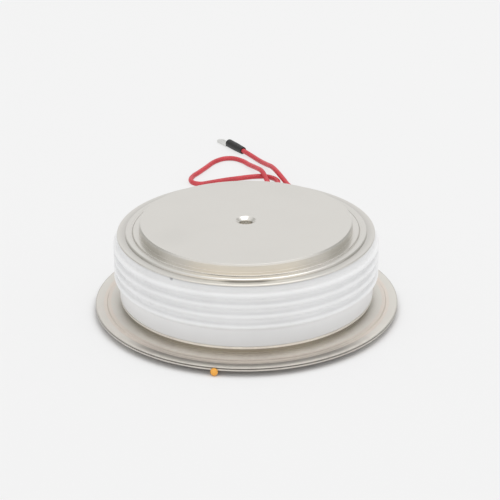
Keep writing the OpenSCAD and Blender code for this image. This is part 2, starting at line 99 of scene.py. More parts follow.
def high(node):
    """Highest corner of a solid."""
    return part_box(node)[1]


def size(name, description, default):
    """A length that a user may change, in metres."""
    return bpy.props.FloatProperty(
        name=name, description=description, default=default, min=0, unit="LENGTH", precision=5
    )


def angle(name, description, degrees):
    """An angle that a user may change."""
    return bpy.props.FloatProperty(
        name=name, description=description, default=np.radians(degrees), subtype="ANGLE"
    )


def share(name, description, default):
    """A plain number that a user may change."""
    return bpy.props.FloatProperty(name=name, description=description, default=default, min=0)


def colour(name, description, default):
    """A colour that a user may change, as linear red, green and blue."""
    return bpy.props.FloatVectorProperty(
        name=name, description=description, default=default, subtype="COLOR", size=3, min=0, max=1
    )


class CapsuleSizes(bpy.types.PropertyGroup):
    """Sizes of the capsule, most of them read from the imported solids."""

    total_height: size("Total height", "Distance between the contact faces", high("anode_pole").z)
    face_radius: size("Face radius", "Radius of the outer contact faces", 29.3 * MM)
    face_chamfer: size("Face chamfer", "Chamfer round the contact faces", 0.4 * MM)
    contact_radius: size("Contact radius", "Radius of the inner contact faces", high("anode_foil").x)
    contact_height: size("Anode contact height", "Height of the anode's inner face", low("anode_pole").z)
    ledge_radius: size("Ledge radius", "Radius of the anode's ledge", high("anode_pole").x)
    ledge_drop: size("Ledge drop", "Height of the anode face above its ledge", 2.3 * MM)
    ledge_thickness: size("Ledge thickness", "Thickness of the anode's ledge", 2.9 * MM)
    hole_radius: size("Hole radius", "Radius of the centring holes", 1.75 * MM)
    hole_depth: size("Hole depth", "Depth of the centring holes", 2.4 * MM)
    sink_width: size("Countersink width", "Width of the centring holes' countersink", 1.1 * MM)
    sink_depth: size("Countersink depth", "Depth of the centring holes' countersink", 0.78 * MM)

    ceramic_low: size("Ceramic foot", "Height of the ceramic's lower end", low("ceramic_ring").z)
    ceramic_high: size("Ceramic top", "Height of the ceramic's upper end", high("ceramic_ring").z)
    ceramic_radius: size("Band radius", "Radius of the ceramic's plain band", 35.1 * MM)
    crest_radius: size("Rib radius", "Radius of the ribs' crests", high("ceramic_ring").x)
    bore_radius: size("Bore radius", "Radius of the ceramic's bore", 31.8 * MM)
    rib_count: bpy.props.IntProperty(name="Ribs", description="Number of ribs", default=4, min=1)
    rib_pitch: size("Rib pitch", "Distance from one rib to the next", 2.95 * MM)
    rib_margin: size("Rib margin", "Distance from the ceramic's top to the first crest", 2.4 * MM)
    ceramic_chamfer: size("Ceramic chamfer", "Chamfer on the ceramic's outer ends", 0.25 * MM)

    anode_sheet: size("Anode sheet", "Thickness of the anode flange's sheet", 0.5 * MM)
    bead_start: size("Bead start", "Inner radius of the anode flange's bead", 31 * MM)
    bead_width: size("Bead width", "Width of the anode flange's bead", 2.2 * MM)
    bead_bend: size("Bead bend", "Outer radius of the bead's two bends", 0.6 * MM)
    bead_top: size("Bead crest", "Height of the bead's crest", high("anode_flange").z)
    collar_low: size("Collar foot", "Height of the anode flange's lower end", low("anode_flange").z)
    anode_reach: size("Anode flange radius", "Radius of the anode flange", high("anode_flange").x)

    rim_sheet: size("Rim sheet", "Thickness of each sheet in the welded rim", 0.6 * MM)
    rim_radius: size("Rim radius", "Radius of the welded rim", high("weld_flange").x)
    seam: size("Rim seam", "Height of the seam between the rim's two sheets", low("weld_flange").z)
    neck_radius: size("Neck radius", "Outer radius of the folded neck", 34 * MM)
    groove_radius: size("Groove radius", "Radius where the pressed groove starts", 38.6 * MM)
    groove_wall: size("Groove wall", "Width of the groove's steep inner wall", 0.3 * MM)
    groove_floor: size("Groove floor", "Width of the groove's flat floor", 0.7 * MM)
    groove_depth: size("Groove depth", "Depth of the groove in each sheet", 0.4 * MM)
    groove_end: size("Groove end", "Radius where the groove's slope ends", 41.75 * MM)
    seam_open: size("Seam opening", "How far each sheet springs from the seam at the edge", 0.12 * MM)
    seam_open_width: size("Seam opening width", "Width of the edge that springs open", 1 * MM)
    edge_drop: size("Edge drop", "How far the seam is bent down at the rim's edge", 0.1 * MM)
    slope_drop: size("Slope drop", "How far the groove's slope ends below the sheet's face", 0.25 * MM)
    top_drop: size("Top drop", "How far the upper sheet's edge ends below its face", 0.3 * MM)
    foot_drop: size("Foot drop", "How far the lower sheet's edge reaches below its face", 0.2 * MM)
    cover_start: size("Cover bore", "Inner radius of the cover sheet", 29.35 * MM)
    cover_bead_start: size("Cover bead start", "Inner radius of the cover's hanging bead", 31.9 * MM)
    cover_bead_width: size("Cover bead width", "Width of the cover's hanging bead", 2.2 * MM)
    cover_bead_low: size("Cover bead foot", "Lowest point of the hanging bead", low("cover_flange").z)

    gate_height: size("Gate height", "Height of the gate tube's axis", 7.2 * MM)
    tube_radius: size("Tube radius", "Radius of the gate tube", 1.2 * MM)
    tube_bore: size("Tube bore", "Radius of the gate tube's bore", 0.55 * MM)
    crimp_radius: size("Crimp radius", "Radius of the gate tube's crimped end", 0.95 * MM)
    crimp_length: size("Crimp length", "Length of the gate tube's crimped end", 2 * MM)


class LeadSizes(bpy.types.PropertyGroup):
    """Sizes of the two control leads and of what is on their ends."""

    diameter: size("Lead diameter", "Outside diameter of the leads", 1.6 * MM)
    barrel_radius: size("Barrel radius", "Radius of a terminal's crimp barrel", 1.1 * MM)
    barrel_length: size("Barrel length", "Length of a terminal's crimp barrel", 5 * MM)
    tongue_width: size("Tongue width", "Width of a terminal's tongue", 2.8 * MM)
    tongue_length: size("Tongue length", "Length of a terminal's tongue", 6.5 * MM)
    tongue_thickness: size("Tongue thickness", "Thickness of a terminal's tongue", 0.5 * MM)
    sleeve_radius: size("Sleeve radius", "Radius of the black sleeve", 1.4 * MM)
    sleeve_length: size("Sleeve length", "Length of the black sleeve on the lead", 4.6 * MM)


class FinishColours(bpy.types.PropertyGroup):
    """Colours of the finishes."""

    face: colour("Contact face", "Lapped nickel of the poles", (0.74, 0.72, 0.68))
    braze: colour("Braze", "Dull braze in the seam round the anode", (0.54, 0.52, 0.485))
    # On the rim's front this paler colour is painted light; elsewhere the rim has the bead colour
    sheet: colour("Flange sheet", "Pressed nickel of the flanges", (0.86, 0.835, 0.79))
    bead: colour("Bead sheet", "Pressed nickel of the anode flange", (0.72, 0.705, 0.665))
    tarnish: colour("Groove tarnish", "Browner nickel in the rim's groove", (0.75, 0.685, 0.63))
    # Painted shade: the colour of the neck's recess under the ceramic's lip, where the lip shades it
    shaded_recess: colour("Painted neck shade", "Dull brown film in the neck's recess", (0.37, 0.342, 0.292))
    # Painted shade for the groove's corner, the seam, the bead's foot, the braze in front and the darker top
    # of the rim's edge; the braze's random duller clouds also take this colour
    dirt_and_painted_shade: colour("Dirt and painted shade", "Dark film in the sheets' corners and seam", (0.19, 0.18, 0.165))
    stain: colour("Sheet stain", "Greyer patches on the flanges", (0.74, 0.7, 0.67))
    ceramic: colour("Ceramic", "White of the ceramic wall", (0.862, 0.864, 0.868))
    lead: colour("Lead", "Red insulation of the leads", (0.62, 0.05, 0.066))
    sleeve: colour("Sleeve", "Black of the sleeve", (0.018, 0.019, 0.02))
    tin: colour("Tin", "Tinned metal of the terminals", (0.72, 0.72, 0.7))
    paint: colour("Paint", "Orange of the paint dot", (0.93, 0.43, 0.06))


class StageSettings(bpy.types.PropertyGroup):
    """Camera, floor and light."""

    camera_distance: size("Camera distance", "How far the camera stands in front of the axis", 427.7 * MM)
    camera_height: size("Camera height", "Height of the camera above the floor", 209.3 * MM)
    camera_tilt: angle("Camera tilt", "How far the camera looks down", 24.236)
    camera_turn: angle("Camera turn", "How far the camera turns to the right", 0.143)
    camera_roll: angle("Camera roll", "How far the camera rolls", -0.435)
    focal_length: bpy.props.FloatProperty(
        name="Focal length", description="Focal length on a 36 mm sensor", default=122.4, unit="CAMERA"
    )
    background: share("Background", "Brightness of the pale surroundings", 0.885)
    ambient: share("Ambient", "Brightness of the surroundings as a light", 0.84)
    sidelight: share("Side light", "How much brighter the surroundings are to the left and the right", 0.22)
    softbox: share("Softbox", "Brightness of the overhead softbox", 1.55)


def line(*points):
    """Straight stretches from point to point: the two ends of each, and a point close to each end, which
    keeps its shading flat."""
    start, end = np.array(points[:-1], float), np.array(points[1:], float)
    step = HOLD * (end - start) / np.linalg.norm(end - start, axis=1, keepdims=True)
    return np.stack([start, start + step, end - step, end], axis=1).reshape(-1, 2)


def arc(centre, radius, first, last, steps=14):
    """Points (c + R cos a, d + R sin a) of a circle about (c, d), from angle first to last in degrees."""
    a = np.radians(np.linspace(first, last, steps))
    return np.array(centre) + radius * np.stack([np.cos(a), np.sin(a)], axis=1)


def rounded(corners, closed=True, steps=7):
    """A polygon whose corners (r, z, fillet) are rounded.

    At each corner the arc of the fillet's radius touches both sides at fillet / tan(half the corner's angle)
    from the corner. Its points swing from one touching point to the other about the arc's centre, which lies
    on the corner's bisector. A point is added on each side just past the arc, to keep flats flat.
    """
    corners = np.array(corners, float)
    p, fillet = corners[:, :2], np.maximum(corners[:, 2], 0.01 * MM)[:, None]
    back, on = np.roll(p, 1, axis=0) - p, np.roll(p, -1, axis=0) - p
    back, on = (v / np.linalg.norm(v, axis=1, keepdims=True) for v in (back, on))
    half = np.arccos(np.clip(np.sum(back * on, axis=1, keepdims=True), -1, 1)) / 2
    reach = fillet / np.tan(half)
    bisector = back + on
    centre = p + fillet / np.sin(half) * bisector / np.linalg.norm(bisector, axis=1, keepdims=True)
    first, last = p + back * reach - centre, p + on * reach - centre
    swing = np.pi - 2 * half
    t = np.linspace(0, 1, steps)[None, :, None]
    swept = np.sin((1 - t) * swing[:, None]) * first[:, None] + np.sin(t * swing[:, None]) * last[:, None]
    points = centre[:, None] + swept / np.sin(swing)[:, None]
    before, after = (points[:, 0] + HOLD * back)[:, None], (points[:, -1] + HOLD * on)[:, None]
    points = np.concatenate([before, points, after], axis=1)
    if not closed:
        return np.concatenate([p[:1], points[1:-1].reshape(-1, 2), p[-1:]])
    return points.reshape(-1, 2)


def outline(*stretches):
    """Stretches of points joined to one outline, without points that repeat the one before."""
    joined = np.concatenate(stretches)
    moved = np.linalg.norm(joined - np.roll(joined, 1, axis=0), axis=1) > 0.001 * MM
    return joined[moved]


def lathe(profile, turns=384):
    """Surface of revolution: the profile's point (r, h) at turn t becomes (r cos t, r sin t, h)."""
    t = np.arange(turns) * TURN / turns
    r, h = profile[:, :1], profile[:, 1:]
    return np.stack([r * np.cos(t), r * np.sin(t), h + 0 * t], axis=2)


def along_y(grid, x, z):
    """A lathed grid laid down so that its axis runs along +Y through (x, z)."""
    return np.stack([grid[..., 0] + x, grid[..., 2], -grid[..., 1] + z], axis=2)


def at_end(route, grid):
    """A grid whose own +Z runs on from a route's last point, with its own +X pointing up."""
    run = route[-1] - route[-2]
    run = run * [1, 1, 0] / np.hypot(run[0], run[1])
    side = np.cross(run, [0, 0, 1])
    frame_axes = np.array([[0, 0, 1], -side, run])
    return route[-1] + grid @ frame_axes


def cells(grid, loop, first):
    """Corner indices of a grid's faces, where first is the index of its first point.

    The quads wrap round the columns, and along the rows where they form a loop. A grid that is no loop is
    closed by a flat polygon at its first and last row. Faces that enclose a negative volume are turned round.
    """
    rows, columns = grid.shape[:2]
    index = np.arange(rows * columns).reshape(rows, columns)
    if loop:
        index = np.concatenate([index, index[:1]])
    index = np.concatenate([index, index[:, :1]], axis=1)
    quads = np.stack([index[:-1, :-1], index[:-1, 1:], index[1:, 1:], index[1:, :-1]], axis=2).reshape(-1, 4)
    caps = index[:0, 1:] if loop else np.stack([index[0, :0:-1], index[-1, :-1]])
    corner = grid.reshape(-1, 3)[quads]
    centre = corner.mean(axis=(0, 1))
    a, b, c, d = (corner[:, k] - centre for k in range(4))
    volume = np.sum(a * np.cross(b, c)) + np.sum(a * np.cross(c, d))
    way = 1 if volume > 0 else -1
    return (first + quads[:, ::way]).tolist() + (first + caps[:, ::way]).tolist()


def shares(rows, columns):
    """UV places of a grid's points: the share of the columns across and the share of the rows along."""
    along, across = np.meshgrid(np.linspace(0, 1, rows), np.linspace(0, 1, columns), indexing="ij")
    return np.stack([across, along], axis=2).reshape(-1, 2)


def surface(name, *sheets):
    """One mesh of several closed grids, each given as (grid, whether its rows form a loop), with a UV map of
    the share of a turn across and the share of the rows along."""
    points = np.concatenate([grid.reshape(-1, 3) for grid, _ in sheets])
    places = np.concatenate([shares(*grid.shape[:2]) for grid, _ in sheets])
    faces, first = [], 0
    for grid, loop in sheets:
        faces += cells(grid, loop, first)
        first += grid.shape[0] * grid.shape[1]
    mesh = bpy.data.meshes.new(name)
    mesh.from_pydata(points.tolist(), [], faces)
    corners = np.empty(len(mesh.loops), np.int32)
    mesh.loops.foreach_get("vertex_index", corners)
    mesh.uv_layers.new(name="turn_and_run").uv.foreach_set("vector", places[corners].ravel())
    mesh.polygons.foreach_set("use_smooth", np.ones(len(mesh.polygons), bool))
    mesh.set_sharp_from_angle(angle=np.radians(SHARP_DEG))
    mesh.update()
    return mesh


def add_object(name, data):
    """Adds an object to the scene."""
    added = bpy.data.objects.new(name, data)
    bpy.context.scene.collection.objects.link(added)
    return added


def refinish(node, finish):
    """Puts a finish on a solid that is shown as it is."""
    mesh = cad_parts[node].data
    mesh.materials.clear()
    mesh.materials.append(finish)


def add_piece(name, sheets, finish, slot, *nodes):
    """Adds closed grids as a piece of the capsule that stands for the given solids."""
    piece = add_object(name, surface(name, *sheets))
    piece.data.materials.append(finish)
    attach(piece, "root")
    if nodes:
        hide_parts(*nodes)
    return piece


class Signal:
    """A shader socket in arithmetic: each operator adds the Math node that does it."""

    def __init__(self, network, socket):
        self.network = network
        self.socket = socket

    def __add__(self, other):
        return self.network.math("ADD", self, other)

    def __sub__(self, other):
        return self.network.math("SUBTRACT", self, other)

    def __rsub__(self, other):
        return self.network.math("SUBTRACT", other, self)

    def __mul__(self, other):
        return self.network.math("MULTIPLY", self, other)

    def __pow__(self, other):
        return self.network.math("POWER", self, other)

    __radd__ = __add__
    __rmul__ = __mul__


class Network:
    """A shader tree that is filled node by node."""

    def __init__(self, tree):
        self.tree = tree
        tree.nodes.clear()

    def node(self, kind, settings=(), sockets=(), output=0):
        """Adds a node of a type, sets its settings, then its sockets to values or links; gives one output."""
        made = self.tree.nodes.new(kind)
        for key, value in dict(settings).items():
            setattr(made, key, value)
        for key, value in dict(sockets).items():
            if isinstance(value, Signal):
                self.tree.links.new(value.socket, made.inputs[key])
            else:
                made.inputs[key].default_value = value
        return Signal(self, made.outputs[output]) if made.outputs else None

    def most(self, *values):
        """The largest of several values."""
        return functools.reduce(lambda one, other: self.math("MAXIMUM", one, other), values)

    def math(self, operation, *values):
        """A Math node on two values."""
        return self.node("ShaderNodeMath", {"operation": operation}, dict(enumerate(values)))

    def split(self, vector):
        """The three parts of a vector."""
        parts = self.node("ShaderNodeSeparateXYZ", sockets={"Vector": vector}).socket.node
        return [Signal(self, parts.outputs[k]) for k in range(3)]

    def marks(self, value, pitch, detail=3):
        """Uneven marks: noise along one value alone, with features of the given pitch."""
        sockets = {"W": value, "Scale": 1 / pitch, "Detail": detail}
        return self.node("ShaderNodeTexNoise", {"noise_dimensions": "1D"}, sockets)

    def rise(self, value, start, end):
        """A smooth step from 0 at start to 1 at end."""
        sockets = {"Value": value, "From Min": start, "From Max": end}
        return self.node("ShaderNodeMapRange", {"interpolation_type": "SMOOTHSTEP"}, sockets)

    def between(self, value, start, end, blur):
        """1 between start and end, falling smoothly to 0 over the blur outside them."""
        return self.rise(value, start - blur, start) * (1 - self.rise(value, end, end + blur))

    def blend(self, factor, first, second):
        """A mix of two colours."""
        sockets = {0: factor, 6: tinted(first), 7: tinted(second)}
        return self.node("ShaderNodeMix", {"data_type": "RGBA"}, sockets, 2)

    def background_ray(self):
        """1 for a ray that shows the background: from the camera, in a reflection or through glass."""
        rays = self.node("ShaderNodeLightPath").socket.node
        kinds = ("Is Camera Ray", "Is Glossy Ray", "Is Transmission Ray")
        return self.most(*(Signal(self, rays.outputs[kind]) for kind in kinds))

    def bump(self, height, distance):
        """A normal tilted by a height from 0 to 1 that stands for the given distance."""
        return self.node("ShaderNodeBump", {}, {"Height": height, "Distance": distance, "Strength": 1.0})


def tinted(value):
    """A colour with full opacity, or a signal as it is."""
    return value if isinstance(value, Signal) else (*value, 1.0)


class Finish(Network):
    """A procedural material on the capsule's own coordinates."""

    def __init__(self, name):
        self.material = bpy.data.materials.new(name)
        self.material.use_nodes = True
        super().__init__(self.material.node_tree)

    @functools.cached_property
    def place(self):
        """Object coordinates, which are the capsule's own frame."""
        return self.node("ShaderNodeTexCoord", output="Object")

    @functools.cached_property
    def radius(self):
        """Distance from the capsule's axis, as the root of x squared plus y squared."""
        x, y, _ = self.split(self.place)
        return (x * x + y * y) ** 0.5

    def noise(self, grain, detail=2.0, roughness=0.5):
        """Noise from 0 to 1 whose features are about as long as grain, in metres."""
        sockets = {"Vector": self.place, "Scale": 1 / grain, "Detail": detail, "Roughness": roughness}
        return self.node("ShaderNodeTexNoise", {}, sockets)

    def dimmed(self, mask, base, left):
        """A colour of which only a share is left where the mask is 1."""
        return self.blend(mask, base, [c * left for c in base])

    def near(self, point, inner, outer):
        """1 within inner of a point, falling smoothly to 0 at outer."""
        sockets = {0: self.place, 1: point}
        far = self.node("ShaderNodeVectorMath", {"operation": "DISTANCE"}, sockets, "Value")
        return 1 - self.rise(far, inner, outer)

    def shade(self, **sockets):
        """Ends the material with a Principled shader, whose socket names are written with underscores."""
        named = {key.replace("_", " ").title(): value for key, value in sockets.items()}
        named["Base Color"] = tinted(named["Base Color"])
        return self.end(self.node("ShaderNodeBsdfPrincipled", {}, named))

    def glow(self, tint):
        """A shader that gives light of its own."""
        return self.node("ShaderNodeEmission", {}, {"Color": tinted(tint), "Strength": 1.0})

    def end(self, shader):
        """Ends the material with any shader."""
        self.node("ShaderNodeOutputMaterial", {}, {"Surface": shader})
        return self.material


def lapped_nickel(sizes, colours):
    """Lapped nickel plating on copper: an even satin with faint turning rings, soft clouds and a smudge."""
    f = Finish("lapped_nickel")
    cloud = f.noise(18 * MM, 3)
    grain = f.noise(0.12 * MM, 1)
    rings = f.marks(f.radius, 0.35 * MM)
    smudge = f.near((-19.8 * MM, -11.5 * MM, sizes.total_height), 1 * MM, 8 * MM)
    dull = f.rise(cloud, 0.35, 0.75) * 0.35 + smudge * 0.5
    return f.shade(
        base_color=f.dimmed(dull, colours.face, 0.93),
        roughness=0.24 + cloud * 0.08 + rings * 0.04,
        metallic=1.0,
        normal=f.bump(grain * 0.6 + rings * 0.4, 0.9 * MICRON),
    )


def pressed_nickel(sizes, colours):
    """Pressed nickel sheet: burnished on the bead, duller and blotched on the rim, with a tarnished groove.
    Painted light makes the rim paler in front; painted shade darkens the groove's corner in front, the seam
    and the neck's recess; a painted dark reflection lies at the bead's foot, and the top of the rim's edge is
    darker."""
    f = Finish("pressed_nickel")
    _, depth, height = f.split(f.place)
    rim = 1 - f.rise(height, 8 * MM, 12 * MM)
    # 1 on the capsule's front, where the rim is painted lighter and the groove's corner is painted with shade
    ahead = 1 - f.rise(depth, -34 * MM, -10 * MM)

    cloud = f.noise(9 * MM, 3, 0.6)
    patch = f.noise(2.6 * MM, 3, 0.6)
    grain = f.noise(0.1 * MM, 1)
    rings = f.marks(f.radius, 0.25 * MM)
    stain = f.rise(cloud * 0.5 + patch * 0.5, 0.42, 0.62) * (0.35 + rim * 0.15)

    groove, edge = sizes.groove_radius, sizes.rim_radius
    tarnish = f.between(f.radius, groove - 0.6 * MM, groove + 0.8 * MM, 0.6 * MM)
    tarnish = tarnish * rim * (0.5 + patch * 0.5)
    # Painted shade in the groove's corner and along its brow, used on the rim's front only
    corner = f.rise(f.radius, groove + 0.6 * MM, groove + 1 * MM)
    corner = corner * (1 - f.rise(f.radius, groove + 1.5 * MM, edge + 0.4 * MM))
    brow = f.between(f.radius, groove - 0.1 * MM, groove + 0.4 * MM, 0.4 * MM)
    # Painted shade inside the seam between the rim's two sheets, near the edge
    seam = f.between(height, sizes.seam - 0.09 * MM, sizes.seam + 0.09 * MM, 0.05 * MM)
    seam = seam * f.rise(f.radius, edge - 1.2 * MM, edge - 1 * MM)
    # Darker on the top of the rim's outer edge
    darker = f.rise(f.radius, edge - 0.4 * MM, edge - 0.1 * MM)

    neck_foot, neck_top = sizes.seam + sizes.rim_sheet, sizes.ceramic_low - sizes.rim_sheet
    # Painted shade on the neck, in the recess under the ceramic's lip
    shaded_recess = f.between(height, neck_foot + 0.15 * MM, neck_top - 0.2 * MM, 0.25 * MM)
    neck = sizes.neck_radius
    shaded_recess = shaded_recess * (1 - f.rise(f.radius, neck + 0.05 * MM, neck + 0.6 * MM))

    # Painted reflection: a dark line at the bead's foot, strongest in front
    bead = sizes.bead_start + sizes.bead_width
    bead_foot = f.rise(f.radius, bead - 0.17 * MM, bead - 0.05 * MM)
    bead_foot = bead_foot * (1 - f.rise(f.radius, bead, bead + 2 * MM))
    front = f.near((0, -bead, sizes.ceramic_high + sizes.anode_sheet), 3 * MM, 8.5 * MM)
    film_and_painted_shade = bead_foot * (1 - rim) * (front * 0.58 + 0.2)

    # Painted light: the rim's front takes the paler sheet colour, the anode flange and the rest of the rim
    # the bead colour; greyer stain patches lie over both
    tone = f.blend(stain, f.blend(rim * ahead, colours.bead, colours.sheet), colours.stain)
    tone = f.blend(tarnish, tone, colours.tarnish)
    # Painted shade: the neck's recess takes its dark brown colour
    tone = f.blend(shaded_recess, tone, colours.shaded_recess)
    # Painted shade in the groove's corner and on its brow, on the rim's front only
    tone = f.blend(f.most(corner * 0.72, brow * 0.4) * rim * ahead**4, tone, colours.dirt_and_painted_shade)
    # Painted shade in the seam, a painted dark reflection at the bead's foot in front, and a darker top on
    # the rim's outer edge
    tone = f.blend(f.most(seam, darker * 0.22, film_and_painted_shade), tone, colours.dirt_and_painted_shade)
    return f.shade(
        base_color=tone,
        roughness=0.26 + patch * 0.06 + rim * 0.34,
        metallic=1.0,
        normal=f.bump(grain * 0.5 + rings * 0.5, 0.7 * MICRON),
    )


def dull_braze(sizes, colours):
    """Braze that has run in a seam: dull and clouded, with painted shade darkening it in front."""
    f = Finish("dull_braze")
    cloud = f.noise(2.5 * MM, 3)
    # Painted shade darkens the braze round the front; random clouds also make it duller
    middle = (0, -sizes.bead_start - 0.2 * MM, sizes.bead_top + 0.15 * MM)
    front = f.near(middle, 4 * MM, 16 * MM)
    film_and_painted_shade = f.rise(cloud, 0.4, 0.75) * 0.2 + front * 0.7
    return f.shade(
        base_color=f.blend(film_and_painted_shade, colours.braze, colours.dirt_and_painted_shade),
        roughness=0.45 + cloud * 0.12,
        metallic=1.0,
        normal=f.bump(f.noise(0.08 * MM, 1), 0.8 * MICRON),
    )


def fired_ceramic(sizes, colours):
    """Fired white alumina: faint clouds, fine pits and one dark rub at its upper edge, with painted shade
    that greys its foot and its top.
    """
    f = Finish("fired_ceramic")
    cloud = f.noise(12 * MM, 3)
    pits = f.rise(f.noise(0.55 * MM, 2), 0.7, 0.78)
    grain = f.noise(0.2 * MM, 2)
    rub = f.near((-19.5 * MM, -29.3 * MM, 22 * MM), 0.2 * MM, 0.75 * MM)
    cloudy = f.dimmed(f.rise(cloud, 0.35, 0.75), colours.ceramic, 0.955)
    height, top = f.split(f.place)[2], sizes.ceramic_high
    # Painted shade: greyer towards the foot above the rim, and at the top under the anode flange
    foot = (1 - f.rise(height, 3 * MM, 12 * MM)) * 0.7
    shaded_top = f.rise(height, top - 1.9 * MM, top) * 0.5
    pits_and_painted_shade = f.most(pits * 0.25, foot + shaded_top)
    pitted_and_painted_shade = f.blend(pits_and_painted_shade, cloudy, [c * 0.75 for c in colours.ceramic])
    return f.shade(
        base_color=f.blend(rub * 0.6, pitted_and_painted_shade, (0.16, 0.16, 0.17)),
        roughness=0.4 + cloud * 0.12,
        normal=f.bump(grain * 0.7 + cloud * 0.3, 2.5 * MICRON),
    )


def soft_insulation(name, base, roughness):
    """Extruded insulation: fine lengthwise streaks and a slightly uneven gloss."""
    f = Finish(name)
    turn = f.split(f.node("ShaderNodeUVMap", {"uv_map": "turn_and_run"}))[0]
    streak = f.marks(turn, 1 / 9, 2)
    cloud = f.noise(5 * MM, 2)
    grain = f.noise(0.15 * MM, 1)
    darker = f.rise(streak * 0.4 + cloud * 0.6, 0.4, 0.7)
    return f.shade(
        base_color=f.dimmed(darker, base, 0.8),
        roughness=roughness + cloud * 0.12,
        normal=f.bump(grain, 3 * MICRON),
    )


def plain_metal(name, base, roughness):
    """Small metal pieces: clouded plating with fine grain."""
    f = Finish(name)
    cloud = f.noise(2.5 * MM, 3)
    grain = f.noise(0.08 * MM, 1)
    return f.shade(
        base_color=f.dimmed(f.rise(cloud, 0.4, 0.75), base, 0.85),
        roughness=roughness + cloud * 0.12,
        metallic=1.0,
        normal=f.bump(grain, 0.8 * MICRON),
    )


def plain_solid(name, base, roughness):
    """Small plastic, rubber and silicon pieces: a faint cloud and fine grain."""
    f = Finish(name)
    cloud = f.noise(3 * MM, 3)
    grain = f.noise(0.12 * MM, 1)
    return f.shade(
        base_color=f.dimmed(f.rise(cloud, 0.35, 0.7), base, 0.88),
        roughness=roughness + cloud * 0.1,
        normal=f.bump(grain, 2 * MICRON),
    )


def smooth_route(route, steps=9):
    """A smooth line through a route's points.

    Between neighbours p and q it is the cubic that leaves p and reaches q with the headings there, where a
    heading is half the way from the point before to the point after (the whole way at the two ends).
    """
    heading = np.gradient(route, axis=0)
    t = np.arange(steps)[None, :, None] / steps
    p, q, m, n = (v[:, None] for v in (route[:-1], route[1:], heading[:-1], heading[1:]))
    cubic = (2 * t**3 - 3 * t**2 + 1) * p + (t**3 - 2 * t**2 + t) * m
    cubic = cubic + (3 * t**2 - 2 * t**3) * q + (t**3 - t**2) * n
    return np.concatenate([cubic.reshape(-1, 3), route[-1:]])


def tube(path, radius, sides=20):
    """A round tube: each point c of the path carries the circle c + R (cos t side + sin t up), where side is
    level and both stand square to the path's heading."""
    heading = np.gradient(path, axis=0)
    heading = heading / np.linalg.norm(heading, axis=1, keepdims=True)
    side = np.cross(heading, [0, 0, 1])
    side = side / np.linalg.norm(side, axis=1, keepdims=True)
    up = np.cross(side, heading)
    t = np.arange(sides)[None, :, None] * TURN / sides
    return path[:, None] + radius * (np.cos(t) * side[:, None] + np.sin(t) * up[:, None])


def terminal_sheets(sizes, route):
    """A crimped terminal: a lathed barrel, dented from above by the crimp, and a flat tongue whose half width
    follows a circle at its tip."""
    r, end = sizes.barrel_radius, sizes.barrel_length
    fillet, dent_depth, dent_reach = 0.15 * MM, 0.35 * MM, 0.9 * MM
    profile = rounded([(0, 0, 0), (r, 0, fillet), (r, end, fillet), (0, end, 0)], closed=False)
    middle, rows = len(profile) // 2, 24
    wall = np.stack([np.full(rows, r), np.linspace(2 * fillet, end - 2 * fillet, rows)], axis=1)
    barrel = lathe(np.concatenate([profile[1:middle], wall, profile[middle:-1]]), 48)
    dent = dent_depth * np.exp(-(((barrel[..., 2] - end / 2) / dent_reach) ** 2))
    barrel[..., 0] -= dent * np.clip(barrel[..., 0] / r, 0, 1) ** 2

    half = sizes.tongue_width / 2
    start = end - sizes.tongue_thickness
    bend = start + sizes.tongue_length - half
    swing = np.linspace(0, 0.98 * np.pi / 2, 14)
    reach = np.concatenate([np.linspace(start, bend, 8)[:-1], bend + half * np.sin(swing)])
    width = np.sqrt(np.maximum(half**2 - np.maximum(reach - bend, 0) ** 2, 0))
    corners = np.array([(-1, -1, 0.12), (1, -1, 0.12), (1, 1, 0.12), (-1, 1, 0.12)])
    section = rounded(MM * corners, steps=4) / MM
    thick = sizes.tongue_thickness / 2
    tongue = np.stack([
        thick * section[None, :, 1] + 0 * width[:, None] - r + thick,
        width[:, None] * section[None, :, 0],
        reach[:, None] + 0 * section[None, :, 0],
    ], axis=2)
    return (at_end(route, barrel), False), (at_end(route, tongue), False)


